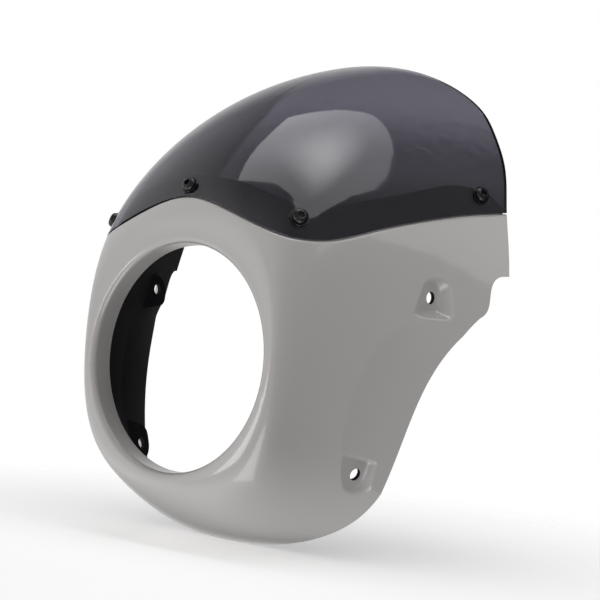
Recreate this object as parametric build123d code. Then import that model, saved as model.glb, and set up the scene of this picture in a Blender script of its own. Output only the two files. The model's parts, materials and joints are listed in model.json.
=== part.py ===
from build123d import *
import math
import os

os.makedirs("parts", exist_ok=True)

# Lamp opening, mm. Shapes are drawn from the lip's front plane, and stored from the middle of the
# opening's straight wall.
lamp_radius = 76.0
lip_round = 4.0
lip_depth = 16.0

# Walls and fits, mm
wall = 3.0
screen_thickness = 3.0
seat_gap = 0.4
seam_gap = 0.6
step_height = 8.0
shoulder_round = 2.4
spot_depth = 0.3

# Screen fasteners, mm
thread_diameter = 6.0
thread_play = 0.05
clearance_diameter = 6.6
head_diameter = 10.5
head_height = 3.3
socket_width = 4.0
socket_depth = 2.0
screw_length = 14.0
washer_diameter = 12.4
washer_thickness = 1.2
nut_width = 10.0
nut_height = 5.0

# Bracket holes, mm
bracket_hole_diameter = 8.4
pad_floor = 3.0
pad_wall = 4.0
pad_rim_round = 3.5
pad_foot_round = 3.5

# The skin runs through five frames, from the lamp ring to the rear. Each has its crown and keel
# as (y, z), its half width, the height share of its widest point and the handles of its quarters.
ring_radius = lamp_radius + lip_round + 0.1
round_handle = 0.5523
frames = [
    dict(crown=(0, ring_radius), keel=(0, -ring_radius), half=ring_radius,
         share=0.5, side=round_handle / 2, top=round_handle, low=round_handle),
    dict(crown=(0, 105.3), keel=(0, -87.2), half=87.4, share=0.453, side=0.360, top=0.900, low=0.858),
    dict(crown=(-28.8, 92.0), keel=(14.6, -94.4), half=93.1, share=0.485, side=0.331, top=0.896, low=0.767),
    dict(crown=(68.6, 221.6), keel=(40.2, -138.0), half=92.8,
         share=0.613, side=0.334, top=0.838, low=0.740),
    dict(crown=(205.1, 246.2), keel=(129.1, -124.6), half=168.1,
         share=0.365, side=0.335, top=0.762, low=0.629),
]

# Lower edge of the screen and top edge of the flange behind it, as points from the front middle
# to the rear of one side. Both are cut towards an upright line at this y.
fan_y = 260.0
screen_line = [
    (0, 0, 106.5), (31.4, -0.5, 99.9), (57.3, 0.4, 88.8), (72.4, 3.3, 82.1), (81.0, 7.5, 79.1),
    (87.9, 14.1, 78.7), (103.7, 45.4, 88.6), (117.1, 81.9, 100.4), (134.2, 128.2, 113.3),
    (149.1, 164.7, 119.3), (165.0, 205.0, 122.0),
]
flange_line = [
    (0, 6.2, 122.0), (20.0, 6.6, 120.9), (39.3, 7.7, 117.6), (55.5, 9.5, 112.8), (74.3, 14.7, 104.8),
    (86.0, 22.4, 100.2), (99.0, 45.9, 106.2), (108.9, 72.0, 115.0), (126.0, 120.0, 130.0),
    (136.0, 145.0, 134.8), (142.5, 155.5, 131.5), (148.5, 163.5, 121.5), (160.0, 188.0, 112.0),
]

# Rear edge in side view, as (y, z)
rear_low = [(60, -146), (78, -129), (89, -110), (94, -80), (97, -51), (106.4, -6.6), (125.5, 30),
            (136.5, 42.5)]
rear_notch = [(136.5, 42.5), (142.6, 50), (144.8, 60), (148, 68.5), (154, 72.7)]
rear_tab = [(154, 72.7), (159.2, 73.4)]
rear_high = [(159.2, 73.4), (162, 94.5), (166, 119), (177.5, 156.4), (182.7, 180.2), (186.4, 200),
             (184.5, 210.5), (179, 222), (168, 236), (150, 254)]

# Screws of the screen as places on the skin: along from the ring to the rear, across from crown to keel
screw_spots = [(0.37, 0.0), (0.48, 0.59), (0.93, 0.69)]

# Hollow of the flank between the pads: its middle on the skin, its own directions, and its height
# over that middle on a grid of rises (rows) and runs to the rear (columns)
flank_middle = (110.5, 62.5, -10.3)
flank_out = (0.90, -0.43, -0.07)
flank_up = (0.21, 0.29, 0.93)
flank_rises = (-70, -20, 30, 80)
flank_runs = (-14, 26, 66)
flank_heights = [(-7.0, -14.5, -12.5), (7.0, -0.5, 4.0), (-1.0, -3.5, -2.5), (-3.0, -2.0, 6.5)]

# Bracket pads: hole middle and outward direction of the floor, then how far the floor runs to the
# rear, front, top and foot, its corner rounds, and how far it widens forwards and its walls lean out,
# in degrees
pads = [
    dict(hole=(128.8, 107.5, 52.9), out=(1, -0.134, -0.049),
         rear=8.0, front=46.0, up=10.0, down=8.5, round_up=9.0, round_down=4.0,
         splay_up=0.0, splay_down=11.0, lean_up=42.0, lean_down=18.0, lean_rear=25.0),
    dict(hole=(100.6, 76.5, -67.2), out=(1, -0.245, -0.314),
         rear=8.0, front=46.0, up=10.5, down=11.0, round_up=4.0, round_down=10.0,
         splay_up=8.0, splay_down=0.0, lean_up=22.0, lean_down=36.0, lean_rear=26.0),
]
pad_reach = 26.0


def blend(points, t):
    points = list(points)
    while len(points) > 1:
        points = [a + (b - a) * t for a, b in zip(points, points[1:])]
    return points[0]


def mirrored(p):
    return Vector(-p.X, p.Y, p.Z)


def guide_rows(inset):
    rows = []
    last = len(frames) - 1
    for i, f in enumerate(frames):
        crown = Vector(0, *f["crown"])
        keel = Vector(0, *f["keel"])
        side = keel + (crown - keel) * f["share"] + Vector(f["half"], 0, 0)
        if inset and i == 0:
            crown, side, keel = [p + Vector(0, inset, 0) for p in (crown, side, keel)]
        elif inset:
            t = i / last
            crown -= skin_normal(t, 0) * inset
            side -= skin_normal(t, 1) * inset
            keel -= skin_normal(t, 2) * inset
            crown = Vector(0, crown.Y, crown.Z)
            keel = Vector(0, keel.Y, keel.Z)
        if inset and i == last:
            line = (crown - keel).normalized()
            foot = keel + line * (Vector(0, side.Y, side.Z) - keel).dot(line)
            side = Vector(side.X, foot.Y, foot.Z)
        rows.append((crown, side, keel))
    return rows


def skin_nets(inset):
    upper, lower = [], []
    for f, (crown, side, keel) in zip(frames, guide_rows(inset)):
        rise = (crown - keel) * f["side"]
        upper.append([crown, crown + Vector(f["top"] * side.X, 0, 0), side + rise, side])
        lower.append([side, side - rise, keel + Vector(f["low"] * side.X, 0, 0), keel])
    return upper, lower


def skin_point(t, u):
    upper, lower = skin_nets(0)
    net, q = (upper, u) if u <= 1 else (lower, u - 1)
    return blend([blend(row, q) for row in net], t)


def skin_normal(t, u):
    e = 1e-4
    low, high = (0, 1) if u <= 1 else (1, 2)
    along = skin_point(min(t + e, 1), u) - skin_point(max(t - e, 0), u)
    across = skin_point(t, min(u + e, high)) - skin_point(t, max(u - e, low))
    return across.cross(along).normalized()


def plug(inset):
    faces, front, rear = [], [], []
    for net in skin_nets(inset):
        other = [[mirrored(p) for p in row] for row in net]
        for rows in (net, other):
            faces.append(Face.make_bezier_surface(rows))
            front.append(Edge.make_bezier(*rows[0]))
            rear.append(Edge.make_bezier(*rows[-1]))
    faces += [Face(Wire(front)), Face(Wire(rear))]
    return Solid(Shell(faces))


def above(line, lift=0.0):
    points = [Vector(*p) for p in line]
    points = [mirrored(p) for p in reversed(points[1:])] + points
    curves = []
    for k in (0.08, 1.3):
        fan = [Vector(p.X * k, fan_y + (p.Y - fan_y) * k, p.Z + lift) for p in points]
        curves.append(Edge.make_spline(fan))
    return Solid.extrude(Face.make_surface_from_curves(*curves), Vector(0, 0, 260))


def behind():
    def flat(points):
        return [Vector(0, y, z) for y, z in points]
    edges = [Edge.make_spline(flat(rear_low)), Edge.make_spline(flat(rear_notch)),
             Edge.make_line(*flat(rear_tab)), Edge.make_spline(flat(rear_high))]
    top, low = flat([rear_high[-1], rear_low[0]])
    corners = [top, Vector(0, 420, top.Z), Vector(0, 420, low.Z), low]
    edges += [Edge.make_line(a, b) for a, b in zip(corners, corners[1:])]
    side = Face(Wire(edges)).moved(Location((-260, 0, 0)))
    return Solid.extrude(side, Vector(520, 0, 0))


def flank_block(sink):
    out = Vector(*flank_out).normalized()
    up = Vector(*flank_up)
    up = (up - out * up.dot(out)).normalized()
    back = up.cross(out)
    middle = Vector(*flank_middle) - out * sink
    net = []
    for rise, heights in zip(flank_rises, flank_heights):
        net.append([middle + up * rise + back * run + out * h for run, h in zip(flank_runs, heights)])
    return Solid.extrude(Face.make_bezier_surface(net), out * 30)


def on_both(solid):
    return [solid, solid.mirror(Plane.YZ)]


def lengthwise(radius, start, end):
    return Solid.make_cylinder(radius, end - start, Plane((0, start, 0), z_dir=(0, 1, 0)))


def pad_plane(pad):
    out = Vector(*pad["out"]).normalized()
    return Plane(Vector(*pad["hole"]), x_dir=Vector(0, 1, 0) - out * out.Y, z_dir=out)


def pad_wire(pad, height, grow):
    def rise(name):
        return math.tan(math.radians(pad[name]))
    rear = pad["rear"] + grow + height * rise("lean_rear")
    up = pad["up"] + grow + height * rise("lean_up")
    down = -pad["down"] - grow - height * rise("lean_down")
    front = -pad["front"] - grow
    length = rear - front
    corners = [(front, down - length * rise("splay_down")), (rear, down),
               (rear, up), (front, up + length * rise("splay_up"))]
    place = pad_plane(pad).offset(height)
    corners = [place.from_local_coords(Vector(x, y, 0)) for x, y in corners]
    wire = Wire.make_polygon(corners)
    for corner, radius in ((corners[1], pad["round_down"]), (corners[2], pad["round_up"])):
        nearest = min(wire.vertices(), key=lambda v: (Vector(*v) - corner).length)
        wire = wire.fillet_2d(radius + grow, [nearest])
    return wire


def pad_block(pad, start, grow):
    return Solid.make_loft([pad_wire(pad, start, grow), pad_wire(pad, pad_reach, grow)], ruled=True)


def pad_cutter(pad):
    block = pad_block(pad, 0, 0)
    place = pad_plane(pad)

    def at_foot(edge):
        c = place.to_local_coords(edge.center())
        return abs(c.Z) < 0.01 and c.X > -0.9 * pad["front"]
    return block.fillet(pad_foot_round, [e for e in block.edges() if at_foot(e)])


def sunk(solid, pad, flip):
    # Cuts one pad into the solid, then rounds the rim where its walls meet the skin
    cutter = pad_cutter(pad)
    solid = solid - (cutter.mirror(Plane.YZ) if flip else cutter)
    place = pad_plane(pad)
    reach = pad["front"] + pad["rear"]
    rim = []
    for face in solid.faces().filter_by(GeomType.BEZIER):
        for e in face.edges():
            c = e.center()
            c = place.to_local_coords(mirrored(c) if flip else c)
            inside = abs(c.X) < reach / 2 and -2 * pad["down"] < c.Y < 2 * pad["up"]
            if inside and 0.3 < c.Z < pad_reach and e.length < reach:
                rim.append(e)
    return solid.fillet(pad_rim_round, rim)


def spot_planes():
    places = []
    for t, u in screw_spots:
        p, n = skin_point(t, u), skin_normal(t, u)
        if abs(p.X) < 1e-6:
            n = Vector(0, n.Y, n.Z).normalized()
            places.append(Plane(p, x_dir=(1, 0, 0), z_dir=n))
        else:
            places.append(Plane(p, x_dir=(0, 1, 0), z_dir=n))
            places.append(Plane(mirrored(p), x_dir=(0, 1, 0), z_dir=mirrored(n)))
    return places


def post(place, radius, low, high):
    return Solid.make_cylinder(radius, high - low, place.offset(low))


seat_inset = screen_thickness + seat_gap
back_inset = seat_inset + wall
screw_places = spot_planes()
rear_cut = behind()

# Shell: the body with its step for the screen, less its hollow
skin = plug(0)
lower = skin - above(screen_line)
shoulder = [e for e in lower.edges().filter_by(GeomType.BSPLINE) if abs(e.center().X) > 1]
lower = lower.fillet(shoulder_round, shoulder)
for pad in pads:
    lower = sunk(sunk(lower, pad, False), pad, True)
for block in on_both(flank_block(0)):
    lower -= block
seat = (plug(seat_inset) & above(screen_line, -step_height)) - above(flange_line)
body = lower + seat
hollow = (plug(wall) - above(screen_line, -step_height)) + plug(back_inset)
hollow -= lengthwise(lamp_radius + wall, -5, lip_depth)
for pad in pads:
    for block in on_both(pad_block(pad, -pad_floor, pad_wall)):
        hollow -= block
for block in on_both(flank_block(wall)):
    hollow -= block
boss_top = -screen_thickness + spot_depth / 2
boss_radius = washer_diameter / 2 + 0.6
for place in screw_places:
    body += post(place, boss_radius, -seat_inset - 1, boss_top)
body -= rear_cut
body -= lengthwise(lamp_radius, -10, lip_depth + 10)
shell = body - hollow
nut_seat = -back_inset + spot_depth
for place in screw_places:
    shell -= post(place, nut_width * 0.62, nut_seat - 12, nut_seat)
    shell -= post(place, clearance_diameter / 2, -20, 20)
for pad in pads:
    for hole in on_both(post(pad_plane(pad), bracket_hole_diameter / 2, -20, 20)):
        shell -= hole
lip_edges = shell.edges().filter_by(GeomType.CIRCLE)
lip_edges = [e for e in lip_edges if abs(e.radius - lamp_radius) < 0.01 and abs(e.arc_center.Y) < 0.01]
shell = fillet(lip_edges, lip_round)

# Screen
screen = (skin & above(screen_line, seam_gap)) - plug(screen_thickness)
screen -= rear_cut
for place in screw_places:
    screen -= post(place, clearance_diameter / 2, -20, 20)
    screen -= post(place, washer_diameter / 2 + 0.3, -spot_depth, 12)
    screen -= post(place, boss_radius + 0.3, -14, boss_top)

# Fasteners: one of each, then copied to the five places
washer_low = -spot_depth
head_low = washer_low + washer_thickness


def button_screw():
    r = head_diameter / 2
    flat = r * 0.42
    top = head_low + head_height
    brow = head_low + head_height * 0.72
    skirt = head_low + head_height * 0.16
    profile = [
        Edge.make_line((0, 0, top), (flat, 0, top)),
        Edge.make_three_point_arc((flat, 0, top), (r * 0.82, 0, brow), (r, 0, skirt)),
        Edge.make_line((r, 0, skirt), (r, 0, head_low)),
        Edge.make_line((r, 0, head_low), (0, 0, head_low)),
        Edge.make_line((0, 0, head_low), (0, 0, top)),
    ]
    head = Solid.revolve(Face(Wire(profile)), 360, Axis.Z)
    socket = extrude(RegularPolygon(socket_width / 2, 6, major_radius=False), socket_depth)
    head -= socket.moved(Location((0, 0, top - socket_depth)))
    shank = Solid.make_cylinder(thread_diameter / 2, screw_length, Plane((0, 0, head_low - screw_length)))
    tip = [e for e in shank.edges().filter_by(GeomType.CIRCLE) if e.arc_center.Z < head_low - 1]
    return head + shank.chamfer(0.7, None, tip)


def flat_washer():
    ring = Solid.make_cylinder(washer_diameter / 2, washer_thickness, Plane((0, 0, washer_low)))
    return ring - Solid.make_cylinder(clearance_diameter / 2, 10, Plane((0, 0, -5)))


def hex_nut():
    block = extrude(RegularPolygon(nut_width / 2, 6, major_radius=False), nut_height)
    block = block.moved(Location((0, 0, nut_seat - nut_height)))
    return block - Solid.make_cylinder(thread_diameter / 2 + thread_play, 40, Plane((0, 0, -30)))


def at_places(part, label):
    copies = [place.location * part for place in screw_places]
    solids = [s for c in copies for s in c.solids()]
    group = Compound(children=solids)
    group.label = label
    return group


def whole(part, label):
    solid = max(part.solids(), key=lambda s: s.volume)
    solid.label = label
    return solid


pieces = {
    "cowl_shell": whole(shell, "cowl_shell"),
    "screen": whole(screen, "screen"),
    "screen_screws": at_places(button_screw(), "screen_screws"),
    "screen_washers": at_places(flat_washer(), "screen_washers"),
    "screen_nuts": at_places(hex_nut(), "screen_nuts"),
}
store = Location((0, -(lip_round + lip_depth) / 2, 0))
for name, piece in pieces.items():
    piece = piece.moved(store)
    export_step(piece, "parts/" + name + ".step")
    box = piece.bounding_box()
    print(name, len(piece.solids()), "solids, volume", round(piece.volume), "mm3, valid", piece.is_valid,
          "box", [round(v, 1) for v in (*box.min, *box.max)])
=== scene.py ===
import json
import math

import bmesh
import bpy
from mathutils import Matrix, Vector
from mathutils.bvhtree import BVHTree

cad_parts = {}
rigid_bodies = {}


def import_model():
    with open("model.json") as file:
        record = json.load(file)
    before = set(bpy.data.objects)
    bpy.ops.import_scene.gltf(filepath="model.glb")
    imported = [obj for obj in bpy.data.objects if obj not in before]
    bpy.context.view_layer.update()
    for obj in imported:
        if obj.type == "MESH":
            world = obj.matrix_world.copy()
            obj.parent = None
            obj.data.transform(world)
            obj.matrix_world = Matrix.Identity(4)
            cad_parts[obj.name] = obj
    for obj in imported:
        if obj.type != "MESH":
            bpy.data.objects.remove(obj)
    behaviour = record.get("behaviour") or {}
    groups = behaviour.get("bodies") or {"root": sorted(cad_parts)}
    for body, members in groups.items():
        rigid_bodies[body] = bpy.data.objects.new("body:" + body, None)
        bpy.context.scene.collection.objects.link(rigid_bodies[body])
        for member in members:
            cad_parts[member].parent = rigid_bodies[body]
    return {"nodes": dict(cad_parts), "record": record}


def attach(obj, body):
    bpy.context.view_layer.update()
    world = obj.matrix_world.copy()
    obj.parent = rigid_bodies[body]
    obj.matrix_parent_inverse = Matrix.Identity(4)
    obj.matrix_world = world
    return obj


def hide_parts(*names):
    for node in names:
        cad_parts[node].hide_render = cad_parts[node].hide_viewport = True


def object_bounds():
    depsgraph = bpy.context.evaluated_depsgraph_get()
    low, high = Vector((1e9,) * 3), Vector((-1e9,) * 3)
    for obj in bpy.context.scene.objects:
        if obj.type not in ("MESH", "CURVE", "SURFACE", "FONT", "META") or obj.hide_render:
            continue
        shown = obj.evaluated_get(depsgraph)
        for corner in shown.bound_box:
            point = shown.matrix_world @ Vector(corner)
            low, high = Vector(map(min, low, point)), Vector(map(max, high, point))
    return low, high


for spare in list(bpy.data.objects):
    bpy.data.objects.remove(spare)  # the start-up cube, lamp and camera

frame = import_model()
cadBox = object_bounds()
print("frame loaded:", ", ".join(sorted(frame["nodes"])))

mm = 0.001
microns = 1e6  # in a metre; points within one of them are the same point


def linearColour(hexColour):
    # sRGB hex to the linear values that shaders take
    channels = [int(hexColour[i:i + 2], 16) / 255 for i in (1, 3, 5)]
    return [c / 12.92 if c <= 0.04045 else ((c + 0.055) / 1.055) ** 2.4 for c in channels] + [1.0]


def addNode(tree, kind, settings=None, inputs=None, links=None):
    # settings are the node's own properties, inputs fixed values, links the sockets that feed it
    node = tree.nodes.new(kind)
    for name, value in (settings or {}).items():
        setattr(node, name, value)
    for name, value in (inputs or {}).items():
        node.inputs[name].default_value = value
    for name, source in (links or {}).items():
        tree.links.new(source, node.inputs[name])
    return node


def newMaterial(name, shaderInputs):
    material = bpy.data.materials.new(name)
    material.use_nodes = True
    tree = material.node_tree
    tree.nodes.clear()
    shader = addNode(tree, "ShaderNodeBsdfPrincipled", inputs=shaderInputs)
    addNode(tree, "ShaderNodeOutputMaterial", links={"Surface": shader.outputs["BSDF"]})
    place = addNode(tree, "ShaderNodeTexCoord").outputs["Object"]
    return material, tree, shader, place


# Two-pack paint sprayed on a moulded shell: an even warm grey under a wet-looking lacquer.
# The eye gets soft wide highlights, a faint mottle and the fine ripple that a spray gun leaves.
paint = {
    "light": "#a19e9c",
    "dark": "#9b9896",
    "roughness": (0.30, 0.38),
    "coat": 0.75,
    "coatRoughness": 0.07,
    "mottleSize": 70 * mm,
    "rippleSize": 3.2 * mm,
    "rippleHeight": 0.012 * mm,
    "dustSize": 0.7 * mm,
}


def makePaint():
    material, tree, shader, place = newMaterial("sprayedGreyLacquer", {
        "IOR": 1.47, "Coat Weight": paint["coat"], "Coat Roughness": paint["coatRoughness"], "Coat IOR": 1.5})
    mottle = addNode(tree, "ShaderNodeTexNoise", inputs={"Scale": 1 / paint["mottleSize"], "Detail": 3.0},
                     links={"Vector": place})
    colour = addNode(tree, "ShaderNodeMix", {"data_type": "RGBA"},
                     {"A": linearColour(paint["dark"]), "B": linearColour(paint["light"])},
                     {"Factor": mottle.outputs["Fac"]})
    dust = addNode(tree, "ShaderNodeTexNoise", inputs={"Scale": 1 / paint["dustSize"], "Detail": 2.0},
                   links={"Vector": place})
    low, high = paint["roughness"]
    rough = addNode(tree, "ShaderNodeMapRange", inputs={"To Min": low, "To Max": high},
                    links={"Value": dust.outputs["Fac"]})
    ripple = addNode(tree, "ShaderNodeTexNoise", inputs={"Scale": 1 / paint["rippleSize"], "Detail": 1.0},
                     links={"Vector": place})
    bump = addNode(tree, "ShaderNodeBump", inputs={"Strength": 1.0, "Distance": paint["rippleHeight"]},
                   links={"Height": ripple.outputs["Fac"]})
    tree.links.new(colour.outputs["Result"], shader.inputs["Base Color"])
    tree.links.new(rough.outputs["Result"], shader.inputs["Roughness"])
    tree.links.new(bump.outputs["Normal"], shader.inputs["Normal"])
    return material


# Black ABS left as it came off the mould: satin, with a fine spark-eroded grain.
inside = {
    "black": "#171418",
    "worn": "#201d21",
    "roughness": 0.68,
    "shine": 0.08,
    "patchSize": 30 * mm,
    "grainSize": 0.8 * mm,
    "grainHeight": 0.03 * mm,
}


def makeInside():
    material, tree, shader, place = newMaterial("mouldedBlackAbs", {
        "Roughness": inside["roughness"], "IOR": 1.53, "Specular IOR Level": inside["shine"]})
    patch = addNode(tree, "ShaderNodeTexNoise", inputs={"Scale": 1 / inside["patchSize"], "Detail": 4.0},
                    links={"Vector": place})
    colour = addNode(tree, "ShaderNodeMix", {"data_type": "RGBA"},
                     {"A": linearColour(inside["black"]), "B": linearColour(inside["worn"])},
                     {"Factor": patch.outputs["Fac"]})
    grain = addNode(tree, "ShaderNodeTexNoise", inputs={"Scale": 1 / inside["grainSize"], "Detail": 2.0},
                    links={"Vector": place})
    bump = addNode(tree, "ShaderNodeBump", inputs={"Strength": 0.6, "Distance": inside["grainHeight"]},
                   links={"Height": grain.outputs["Fac"]})
    tree.links.new(colour.outputs["Result"], shader.inputs["Base Color"])
    tree.links.new(bump.outputs["Normal"], shader.inputs["Normal"])
    return material


# Cast acrylic tinted smoke grey and drape-formed: clear but dark, polished, with a slow sheet wave.
smoke = {
    "tint": "#74747b",
    "deepTint": "#6e6e75",
    "roughness": (0.03, 0.06),
    "cloudSize": 60 * mm,
    "waveSize": 45 * mm,
    "waveHeight": 0.06 * mm,
}


def makeSmoke():
    material, tree, shader, place = newMaterial("smokedCastAcrylic", {
        "IOR": 1.49, "Transmission Weight": 1.0})
    cloud = addNode(tree, "ShaderNodeTexNoise", inputs={"Scale": 1 / smoke["cloudSize"], "Detail": 2.0},
                    links={"Vector": place})
    colour = addNode(tree, "ShaderNodeMix", {"data_type": "RGBA"},
                     {"A": linearColour(smoke["deepTint"]), "B": linearColour(smoke["tint"])},
                     {"Factor": cloud.outputs["Fac"]})
    low, high = smoke["roughness"]
    rough = addNode(tree, "ShaderNodeMapRange", inputs={"To Min": low, "To Max": high},
                    links={"Value": cloud.outputs["Fac"]})
    wave = addNode(tree, "ShaderNodeTexNoise", inputs={"Scale": 1 / smoke["waveSize"], "Detail": 0.0},
                   links={"Vector": place})
    bump = addNode(tree, "ShaderNodeBump", inputs={"Strength": 0.5, "Distance": smoke["waveHeight"]},
                   links={"Height": wave.outputs["Fac"]})
    tree.links.new(colour.outputs["Result"], shader.inputs["Base Color"])
    tree.links.new(rough.outputs["Result"], shader.inputs["Roughness"])
    tree.links.new(bump.outputs["Normal"], shader.inputs["Normal"])
    return material


# Steel fasteners in black oxide and oil: near black, half gloss, slightly cloudy.
oxide = {
    "black": "#0b0b0d",
    "grey": "#151518",
    "metallic": 0.4,
    "roughness": (0.14, 0.26),
    "cloudSize": 2.5 * mm,
    "scratchSize": 0.35 * mm,
    "scratchHeight": 0.008 * mm,
}


def makeOxide():
    material, tree, shader, place = newMaterial("blackOxideSteel", {"Metallic": oxide["metallic"]})
    cloud = addNode(tree, "ShaderNodeTexNoise", inputs={"Scale": 1 / oxide["cloudSize"], "Detail": 3.0},
                    links={"Vector": place})
    colour = addNode(tree, "ShaderNodeMix", {"data_type": "RGBA"},
                     {"A": linearColour(oxide["black"]), "B": linearColour(oxide["grey"])},
                     {"Factor": cloud.outputs["Fac"]})
    low, high = oxide["roughness"]
    rough = addNode(tree, "ShaderNodeMapRange", inputs={"To Min": low, "To Max": high},
                    links={"Value": cloud.outputs["Fac"]})
    scratch = addNode(tree, "ShaderNodeTexNoise", inputs={"Scale": 1 / oxide["scratchSize"], "Detail": 1.0},
                      links={"Vector": place})
    bump = addNode(tree, "ShaderNodeBump", inputs={"Strength": 0.5, "Distance": oxide["scratchHeight"]},
                   links={"Height": scratch.outputs["Fac"]})
    tree.links.new(colour.outputs["Result"], shader.inputs["Base Color"])
    tree.links.new(rough.outputs["Result"], shader.inputs["Roughness"])
    tree.links.new(bump.outputs["Normal"], shader.inputs["Normal"])
    return material


greyLacquer = makePaint()
blackAbs = makeInside()
smokedAcrylic = makeSmoke()
blackOxide = makeOxide()
print("materials made")


def mergedCopy(node, name):
    # the CAD mesh with its doubles merged, and each corner keeping the normal it had
    source = frame["nodes"][node].data
    source.calc_loop_triangles()
    seen, points, corners, normals = {}, [], [], []
    for tri in source.loop_triangles:
        ids = []
        for v in tri.vertices:
            co = source.vertices[v].co
            key = tuple(round(c * microns) for c in co)
            if key not in seen:
                seen[key] = len(points)
                points.append(co.copy())
            ids.append(seen[key])
        if len(set(ids)) == 3:
            corners.append(ids)
            normals += [source.corner_normals[i].vector.copy() for i in tri.loops]
    mesh = bpy.data.meshes.new(name)
    mesh.from_pydata(points, [], corners)
    mesh.polygons.foreach_set("use_smooth", [True] * len(corners))
    mesh.normals_split_custom_set(normals)
    piece = bpy.data.objects.new(name, mesh)
    bpy.context.collection.objects.link(piece)
    return piece


# Shell: lacquer on what a spray gun reaches from outside, bare black plastic behind it
shell = {
    "axisHeight": 30 * mm,      # the axis that the outer skin wraps round
    "throatRadius": 78 * mm,    # the lamp opening's own wall is sprayed too
    "throatDepth": 6.5 * mm,
    "ringRadius": 110 * mm,     # the back of the lamp's ring stays bare
    "backFacing": 0.2,          # how far a face behind the ring turns to the rear
    "drillShare": 1.02,         # hole walls are drilled after spraying, so they stay black
    "lift": 0.00002,            # a spray ray starts this far off its face
    "lean": 0.3,                # and leans this much towards the face's own normal
    "grazing": -0.05,           # spray still catches a face turned this little away
}


def holeDistance(point, mount):
    offset = point - Vector(mount["pos_m"])
    axis = Vector(mount["axis"]).normalized()
    along = offset.dot(axis)
    if abs(along) > mount["dims"]["length_mm"] * mm:
        return math.inf
    return (offset - axis * along).length


def paintShell(piece):
    mesh = piece.data
    mesh.materials.append(greyLacquer)
    mesh.materials.append(blackAbs)
    tree = BVHTree.FromPolygons([v.co for v in mesh.vertices], [p.vertices for p in mesh.polygons])
    sprayed = 0
    holes = [mount for mount in frame["record"]["mounts"] if "bracket" in mount["name"]]
    front = Vector((0, -1, 0))
    for face in mesh.polygons:
        centre, normal = face.center, face.normal
        outward = Vector((centre.x, 0, centre.z - shell["axisHeight"])).normalized()
        fromAxis = math.hypot(centre.x, centre.z)
        throat = fromAxis < shell["throatRadius"] and centre.y < shell["throatDepth"]
        start = centre + normal * shell["lift"]
        clear = False
        for aim in (outward, (outward + front).normalized(), front):
            leaned = (aim + normal * shell["lean"]).normalized()
            if aim.dot(normal) > shell["grazing"] and tree.ray_cast(start, leaned)[0] is None:
                clear = True
        drilled = any(holeDistance(centre, mount) < mount["dims"]["r_mm"] * mm * shell["drillShare"]
                      for mount in holes)
        behindRing = fromAxis < shell["ringRadius"] and normal.y > shell["backFacing"]
        painted = (clear or throat) and not drilled and not behindRing
        face.material_index = 0 if painted else 1
        sprayed += painted
    print("shell faces sprayed:", sprayed, "of", len(mesh.polygons))


cowlShell = mergedCopy("cowl_shell", "cowlShell")
paintShell(cowlShell)
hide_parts("cowl_shell")
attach(cowlShell, "root")

# Screen: the CAD solid is already the real sheet, so it only takes its finish
screenObject = frame["nodes"]["screen"]
screenObject.data.materials.clear()
screenObject.data.materials.append(smokedAcrylic)
print("shell and screen dressed")


# Fasteners, drawn in multiples of the thread's diameter as the standard sizes are
fasteners = {
    "thread": 6 * mm,
    "segments": 48,
    "sharpAngle": 38,
}


def hexRadius(across, angle):
    step = math.radians(60)
    return across / 2 / math.cos((angle + step / 2) % step - step / 2)


def ringStack(name, rings, closed):
    # each ring is height, radius and the share of hexagon in its outline
    count = fasteners["segments"]
    points = []
    for height, radius, hexShare in rings:
        for i in range(count):
            angle = 2 * math.pi * i / count
            r = radius + (hexRadius(2 * radius, angle) - radius) * hexShare
            points.append((r * math.cos(angle), r * math.sin(angle), height))
    faces = []
    pairs = len(rings) if closed else len(rings) - 1
    for ring in range(pairs):
        a, b = ring * count, (ring + 1) % len(rings) * count
        for i in range(count):
            j = (i + 1) % count
            faces.append((a + i, a + j, b + j, b + i))
    if not closed:
        last = (len(rings) - 1) * count
        faces.append(tuple(reversed(range(count))))
        faces.append(tuple(range(last, last + count)))
    mesh = bpy.data.meshes.new(name)
    mesh.from_pydata(points, [], faces)
    tidy = bmesh.new()
    tidy.from_mesh(mesh)
    bmesh.ops.recalc_face_normals(tidy, faces=tidy.faces)
    tidy.to_mesh(mesh)
    tidy.free()
    mesh.polygons.foreach_set("use_smooth", [True] * len(mesh.polygons))
    mesh.set_sharp_from_angle(angle=math.radians(fasteners["sharpAngle"]))
    seed = bpy.data.objects.new(name, mesh)
    bpy.context.collection.objects.link(seed)
    return seed


screw = {
    "headWidth": 1.75,
    "headHeight": 0.55,
    "socketWidth": 0.667,
    "socketDepth": 0.34,
    "length": 2.333,
    "shankRadius": 0.5,
    "tipRadius": 0.38,
    "tipLength": 0.12,
    "foot": (0.97, 0.05),           # the head's rounded foot, as shares of its radius and height
    "rimShare": 0.16,               # the dome starts at this share of the head's height
    "crown": 1.3,                   # and ends this many socket radii from the middle
    "domePower": 0.9,
    "domeStep": 15,
    "lip": [(0.985, 1.12, 0.8), (0.93, 1, 1)],  # socket's broken edge: shares of height, radius, hexagon
    "drillPoint": (0.08, 0.3, 0.3),  # under the socket: depth, then shares of radius and hexagon
}


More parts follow.
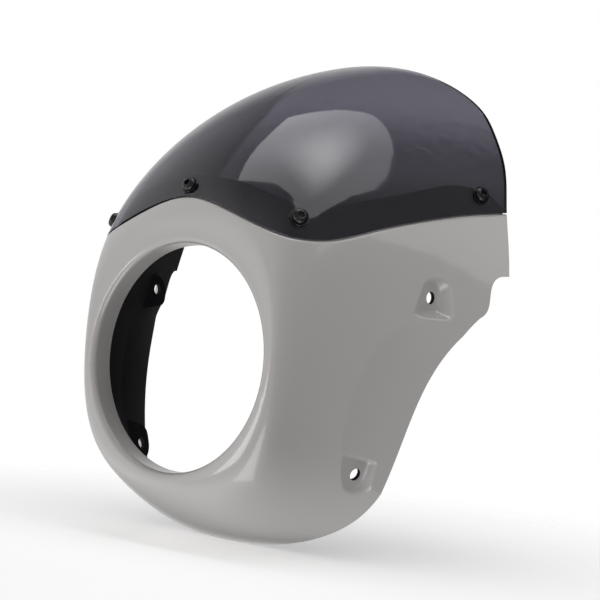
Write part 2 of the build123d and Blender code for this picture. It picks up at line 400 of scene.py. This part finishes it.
def buttonScrew():
    r, h = screw["headWidth"] / 2, screw["headHeight"]
    s, d = screw["socketWidth"] / 2, screw["socketDepth"]
    rim, crown = h * screw["rimShare"], s * screw["crown"]
    dome = []
    for turn in range(0, 91, screw["domeStep"]):
        a = math.radians(turn)
        swell = math.cos(a) ** screw["domePower"]
        dome.append((rim + (h - rim) * math.sin(a), crown + (r - crown) * swell, 0))
    tip, shank = -screw["length"], screw["shankRadius"]
    footWidth, footHeight = screw["foot"]
    rings = [(tip, screw["tipRadius"], 0), (tip + screw["tipLength"], shank, 0), (0, shank, 0),
             (0, r * footWidth, 0), (h * footHeight, r, 0)] + dome
    rings += [(h * high, s * wide, hexShare) for high, wide, hexShare in screw["lip"]]
    depth, wide, hexShare = screw["drillPoint"]
    rings += [(h - d, s, 1), (h - d - depth, s * wide, hexShare)]
    return ringStack("buttonScrew", rings, False)


washer = {
    "width": 2.067,
    "bore": 1.1,
    "thickness": 0.2,
    "edgeShare": 0.16,
}


def flatWasher():
    r, b, t = washer["width"] / 2, washer["bore"] / 2, washer["thickness"]
    e = t * washer["edgeShare"]
    rings = [(0, b, 0), (0, r - e, 0), (e, r, 0), (t - e, r, 0), (t, r - e, 0), (t, b, 0)]
    return ringStack("flatWasher", rings, True)


nut = {
    "width": 1.667,
    "height": 0.833,
    "bore": 1.0,
    "faceShare": 0.97,      # the round end faces, as a share of the width
    "chamferShare": 0.1,
    "flare": 1.12,          # the bore's mouth, as a share of the bore
    "flareShare": 0.08,
}


def hexNut():
    w, h, b = nut["width"] / 2, nut["height"], nut["bore"] / 2
    end, mouth = w * nut["faceShare"], b * nut["flare"]
    c, f = h * nut["chamferShare"], h * nut["flareShare"]
    rings = [(0, mouth, 0), (0, end, 0), (c, w, 1), (h - c, w, 1), (h, end, 0), (h, mouth, 0),
             (h - f, b, 0), (f, b, 0)]
    return ringStack("hexNut", rings, True)


def islandCentres(node):
    # middle of each loose solid in a CAD node
    work = bmesh.new()
    work.from_mesh(frame["nodes"][node].data)
    bmesh.ops.remove_doubles(work, verts=work.verts, dist=1 / microns)
    todo, centres = set(work.verts), []
    while todo:
        stack, group = [todo.pop()], []
        while stack:
            vert = stack.pop()
            group.append(vert.co.copy())
            for edge in vert.link_edges:
                other = edge.other_vert(vert)
                if other in todo:
                    todo.remove(other)
                    stack.append(other)
        low = Vector([min(p[i] for p in group) for i in range(3)])
        high = Vector([max(p[i] for p in group) for i in range(3)])
        centres.append((low + high) / 2)
    work.free()
    return centres


def fastenerTree():
    tree = bpy.data.node_groups.new("fastenerSet", "GeometryNodeTree")
    wanted = [("Places", "NodeSocketGeometry"), ("Fastener", "NodeSocketObject"),
              ("Thread diameter", "NodeSocketFloat"), ("Finish", "NodeSocketMaterial")]
    for label, kind in wanted:
        tree.interface.new_socket(name=label, in_out="INPUT", socket_type=kind)
    tree.interface.new_socket(name="Fasteners", in_out="OUTPUT", socket_type="NodeSocketGeometry")
    given = addNode(tree, "NodeGroupInput").outputs
    axis = addNode(tree, "GeometryNodeInputNamedAttribute", {"data_type": "FLOAT_VECTOR"},
                   {"Name": "seatAxis"})
    turn = addNode(tree, "FunctionNodeAlignRotationToVector", {"axis": "Z"},
                   links={"Vector": axis.outputs["Attribute"]})
    shape = addNode(tree, "GeometryNodeObjectInfo", links={"Object": given["Fastener"]})
    spread = addNode(tree, "GeometryNodeInstanceOnPoints", links={
        "Points": given["Places"], "Instance": shape.outputs["Geometry"],
        "Rotation": turn.outputs["Rotation"], "Scale": given["Thread diameter"]})
    real = addNode(tree, "GeometryNodeRealizeInstances", links={"Geometry": spread.outputs["Instances"]})
    finish = addNode(tree, "GeometryNodeSetMaterial",
                     links={"Geometry": real.outputs["Geometry"], "Material": given["Finish"]})
    addNode(tree, "NodeGroupOutput", links={"Fasteners": finish.outputs["Geometry"]})
    return tree


def placeFasteners(name, node, tree, seed, seats, offset):
    points = bpy.data.meshes.new(name + "Places")
    points.from_pydata([place + axis * offset for place, axis in seats], [], [])
    seatAxis = points.attributes.new("seatAxis", "FLOAT_VECTOR", "POINT")
    for i, (place, axis) in enumerate(seats):
        seatAxis.data[i].vector = axis
    carrier = bpy.data.objects.new(name + "Places", points)
    bpy.context.collection.objects.link(carrier)
    modifier = carrier.modifiers.new("fastenerSet", "NODES")
    modifier.node_group = tree
    socketOf = {item.name: item.identifier for item in tree.interface.items_tree if item.in_out == "INPUT"}
    modifier[socketOf["Fastener"]] = seed
    modifier[socketOf["Thread diameter"]] = fasteners["thread"]
    modifier[socketOf["Finish"]] = blackOxide
    bpy.context.view_layer.update()
    evaluated = carrier.evaluated_get(bpy.context.evaluated_depsgraph_get())
    mesh = bpy.data.meshes.new_from_object(evaluated)
    carrier.modifiers.remove(modifier)
    bpy.data.objects.remove(carrier)
    bpy.data.objects.remove(seed)
    piece = bpy.data.objects.new(name, mesh)
    bpy.context.collection.objects.link(piece)
    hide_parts(node)
    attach(piece, "root")


def nearest(point, others):
    return min(others, key=lambda other: (other - point).length)


# Each washer and its nut give the line that their screw lies on
washerHeight = washer["thickness"] * fasteners["thread"]
nutHeight = nut["height"] * fasteners["thread"]
washerMiddles = islandCentres("screen_washers")
nutMiddles = islandCentres("screen_nuts")
seats = []
for middle in washerMiddles:
    axis = (middle - nearest(middle, nutMiddles)).normalized()
    seats.append((middle - axis * washerHeight / 2, axis))
nutGap = (washerMiddles[0] - nearest(washerMiddles[0], nutMiddles)).length
nutDrop = -(nutGap - washerHeight / 2 + nutHeight / 2)
fastenerSet = fastenerTree()
placeFasteners("screenScrews", "screen_screws", fastenerSet, buttonScrew(), seats, washerHeight)
placeFasteners("screenWashers", "screen_washers", fastenerSet, flatWasher(), seats, 0)
placeFasteners("screenNuts", "screen_nuts", fastenerSet, hexNut(), seats, nutDrop)
print("fasteners placed:", len(seats))


# Camera: fitted to the photograph's lamp opening, which fixes its angle and distance
view = {
    "place": (0.5519, -0.5847, -0.0031),
    "azimuth": 38.0,
    "elevation": -3.41,
    "roll": 4.68,
    "lens": 72.0,
    "sensor": 36.0,
}


def viewAxes():
    turn, rise, roll = (math.radians(view[k]) for k in ("azimuth", "elevation", "roll"))
    ahead = Vector((-math.sin(turn) * math.cos(rise), math.cos(turn) * math.cos(rise), -math.sin(rise)))
    level = Vector((math.cos(turn), math.sin(turn), 0))
    plumb = level.cross(ahead)
    right = level * math.cos(roll) + plumb * math.sin(roll)
    return right, right.cross(ahead), ahead


def addCamera():
    right, up, ahead = viewAxes()
    lens = bpy.data.cameras.new("photoCamera")
    lens.lens, lens.sensor_width = view["lens"], view["sensor"]
    camera = bpy.data.objects.new("photoCamera", lens)
    turned = Matrix((right, up, -ahead)).transposed().to_4x4()
    camera.matrix_world = Matrix.Translation(view["place"]) @ turned
    bpy.context.collection.objects.link(camera)
    bpy.context.scene.camera = camera


# Stage: a pale paper table lit from above and through the paper, in a white room. The paper lets the
# low light through and fades into the white of the room further out.
stage = {
    "floorGap": 0.3 * mm,
    "floorHalf": 6.0,
    "floorColour": "#f2f2f2",
    "grainShade": 0.985,
    "grainSize": 25 * mm,
    "paperGlow": 0.35,
    "paperFade": (0.22, 0.60),
    "topLight": {"size": (2.27, 0.78), "place": (0.515, -0.03, 1.25), "power": 17.0,
                 "hotSpot": (0.38, 0.55), "hotReach": 0.42, "skirt": 0.5},
    "lowLight": {"size": (0.55, 0.95), "place": (0.47, -0.40, -0.75), "aim": (0.25, -0.22, -0.05),
                 "power": 3.6, "glossOnly": True},
    "topGlare": {"size": (1.60, 0.60), "place": (0.45, -0.03, 1.24), "power": 7.0, "glossOnly": True,
                 "hotSpot": (0.5, 0.5), "hotReach": 0.5, "skirt": 0.0},
    "sideLight": {"size": (0.50, 0.42), "place": (1.19, 0.37, 0.68), "aim": (0.14, 0.12, 0.12),
                  "power": 1.0, "shellOnly": True},
    "backLight": {"size": (0.80, 0.80), "place": (-0.70, 1.15, 0.50), "aim": (0, 0.05, 0),
                  "power": 24.0, "softOnly": True, "shellOnly": True},
    "frontLight": {"size": (0.30, 0.55), "place": (-0.50, -1.10, -0.30), "aim": (0, 0, 0),
                   "power": 2.6, "glossOnly": True},
    # glows of the room: towards, where the glow starts and is full as cosines, strength at each
    "glows": [
        ((-0.03, -0.91, -0.41), -0.4, 0.90, 0.09, 0.84),  # wide, from the front
        ((0.06, -0.14, -0.99), 0.50, 0.97, 0.0, 0.55),  # up from the table
        ((-0.50, -0.45, -0.74), 0.70, 0.97, 0.0, 0.35),  # low on the left
        ((0.99, 0.03, -0.14), 0.85, 0.99, 0.0, 0.22),  # low on the right
        ((-0.98, -0.19, 0.10), 0.50, 0.97, 0.0, 0.68),  # level with the part, on the left
        ((0.86, 0.20, 0.47), 0.88, 0.99, 0.0, 0.20),  # high on the right
    ],
    "sweep": ((-0.61, 0.79, 0.05), 0.75, 0.95, 0.0, 0.5),  # white paper behind, met only by gloss
}

# Painted shade behind the screen: the room as met through the smoked screen is dimmer than the same room met
# directly, dark level with the part, and lighter towards the top and the floor
shadedRoomBehindScreen = {
    # the faint blue of the painted shade
    "tint": "#f5f3ff",
    "levels": [  # towards, where the level starts and is full as cosines, level at each
        ((0, 0, 1), 0.12, 0.20, 0.0, 0.27),
        ((0, 0, 1), 0.185, 0.245, 0.0, 0.58),
        ((0, 0, -1), 0.02, 0.25, 0.0, 0.80),
    ],
}


def addFloor():
    half, height = stage["floorHalf"], cadBox[0].z - stage["floorGap"]
    mesh = bpy.data.meshes.new("floor")
    corners = [(-half, -half, height), (half, -half, height), (half, half, height), (-half, half, height)]
    mesh.from_pydata(corners, [], [(0, 1, 2, 3)])
    material, tree, shader, place = newMaterial("paleStudioPaper", {
        "Roughness": 0.9, "Emission Color": (1, 1, 1, 1), "Emission Strength": stage["paperGlow"]})
    grain = addNode(tree, "ShaderNodeTexNoise", inputs={"Scale": 1 / stage["grainSize"], "Detail": 3.0},
                    links={"Vector": place})
    base = linearColour(stage["floorColour"])
    shaded = [c * stage["grainShade"] for c in base[:3]] + [1.0]
    colour = addNode(tree, "ShaderNodeMix", {"data_type": "RGBA"}, {"A": shaded, "B": base},
                     {"Factor": grain.outputs["Fac"]})
    away = addNode(tree, "ShaderNodeVectorMath", {"operation": "LENGTH"}, links={0: place})
    near, far = stage["paperFade"]
    fade = addNode(tree, "ShaderNodeMapRange", {"interpolation_type": "SMOOTHSTEP"},
                   {"From Min": near, "From Max": far, "To Min": 1.0, "To Max": 0.0},
                   {"Value": away.outputs["Value"]})
    tree.links.new(colour.outputs["Result"], shader.inputs["Base Color"])
    tree.links.new(fade.outputs["Result"], shader.inputs["Alpha"])
    mesh.materials.append(material)
    floor = bpy.data.objects.new("floor", mesh)
    floor.visible_diffuse = False
    floor.visible_glossy = False
    floor.visible_shadow = False
    bpy.context.collection.objects.link(floor)


def addSoftLight(name, light):
    # glossOnly lamps show only as reflections, softOnly lamps never do, shellOnly lamps reach the shell alone
    lamp = bpy.data.lights.new(name, "AREA")
    lamp.shape = "RECTANGLE"
    lamp.size, lamp.size_y = light["size"]
    lamp.energy = light["power"]
    if "hotSpot" in light:
        lamp.use_nodes = True  # brighter in the middle, where the bulb sits behind the cloth
        tree = lamp.node_tree
        place = addNode(tree, "ShaderNodeNewGeometry").outputs["Parametric"]
        offset = addNode(tree, "ShaderNodeVectorMath", {"operation": "SUBTRACT"}, {1: (*light["hotSpot"], 0)},
                         {0: place})
        reach = addNode(tree, "ShaderNodeVectorMath", {"operation": "LENGTH"},
                        links={0: offset.outputs["Vector"]})
        glow = addNode(tree, "ShaderNodeMapRange", {"interpolation_type": "SMOOTHSTEP"},
                       {"From Max": light["hotReach"], "To Min": 1.0, "To Max": light["skirt"]},
                       {"Value": reach.outputs["Value"]})
        tree.links.new(glow.outputs["Result"], tree.nodes["Emission"].inputs["Strength"])
    holder = bpy.data.objects.new(name, lamp)
    place = Vector(light["place"])
    turn = Matrix.Identity(4)  # a lamp with no aim shines straight down
    if "aim" in light:
        turn = (Vector(light["aim"]) - place).to_track_quat("-Z", "Y").to_matrix().to_4x4()
    holder.matrix_world = Matrix.Translation(place) @ turn
    holder.visible_camera = False
    holder.visible_diffuse = "glossOnly" not in light
    holder.visible_glossy = "softOnly" not in light
    holder.visible_transmission = "softOnly" not in light
    if "shellOnly" in light:
        kept = bpy.data.collections.new(name + "Pieces")
        kept.objects.link(cowlShell)
        holder.light_linking.receiver_collection = kept
    bpy.context.collection.objects.link(holder)


def roomGlow(tree, towards, aim, start, full, low, high):
    # a level that rises from low to high as a direction nears the aim
    near = addNode(tree, "ShaderNodeVectorMath", {"operation": "DOT_PRODUCT"},
                   {1: Vector(aim).normalized()}, {0: towards})
    return addNode(tree, "ShaderNodeMapRange", {"interpolation_type": "SMOOTHSTEP"},
                   {"From Min": start, "From Max": full, "To Min": low, "To Max": high},
                   {"Value": near.outputs["Value"]}).outputs["Result"]


def joined(tree, operation, values):
    total = values[0]
    for value in values[1:]:
        step = addNode(tree, "ShaderNodeMath", {"operation": operation}, links={0: total, 1: value})
        total = step.outputs["Value"]
    return total


def tinted(tree, level):
    tint = linearColour(shadedRoomBehindScreen["tint"])[:3]
    return addNode(tree, "ShaderNodeVectorMath", {"operation": "SCALE"}, {0: tint},
                   {"Scale": level}).outputs["Vector"]


def addRoom():
    world = bpy.data.worlds.new("studioRoom")
    world.use_nodes = True
    tree = world.node_tree
    tree.nodes.clear()
    towards = addNode(tree, "ShaderNodeTexCoord").outputs["Generated"]
    ray = addNode(tree, "ShaderNodeLightPath").outputs
    sweep = joined(tree, "MULTIPLY", [ray["Is Glossy Ray"], roomGlow(tree, towards, *stage["sweep"])])
    glows = [roomGlow(tree, towards, *glow) for glow in stage["glows"]]
    through = [roomGlow(tree, towards, *level) for level in shadedRoomBehindScreen["levels"]]
    lit = addNode(tree, "ShaderNodeBackground", inputs={"Color": (1, 1, 1, 1)},
                  links={"Strength": joined(tree, "ADD", glows + [sweep])})
    seen = addNode(tree, "ShaderNodeBackground", inputs={"Color": (1, 1, 1, 1)})
    # painted shade: rays through the screen meet this dimmed room instead of the white one
    shadeBehindScreen = addNode(tree, "ShaderNodeBackground",
                     links={"Color": tinted(tree, joined(tree, "ADD", through))})
    surface = lit.outputs["Background"]
    for kind, backdrop in (("Is Camera Ray", seen), ("Is Transmission Ray", shadeBehindScreen)):
        surface = addNode(tree, "ShaderNodeMixShader", links={
            "Fac": ray[kind], 1: surface, 2: backdrop.outputs["Background"]}).outputs["Shader"]
    addNode(tree, "ShaderNodeOutputWorld", links={"Surface": surface})
    bpy.context.scene.world = world


addFloor()
for name in ("topLight", "topGlare", "lowLight", "sideLight", "backLight", "frontLight"):
    addSoftLight(name, stage[name])
addRoom()
bpy.context.scene.view_settings.view_transform = "Standard"
addCamera()
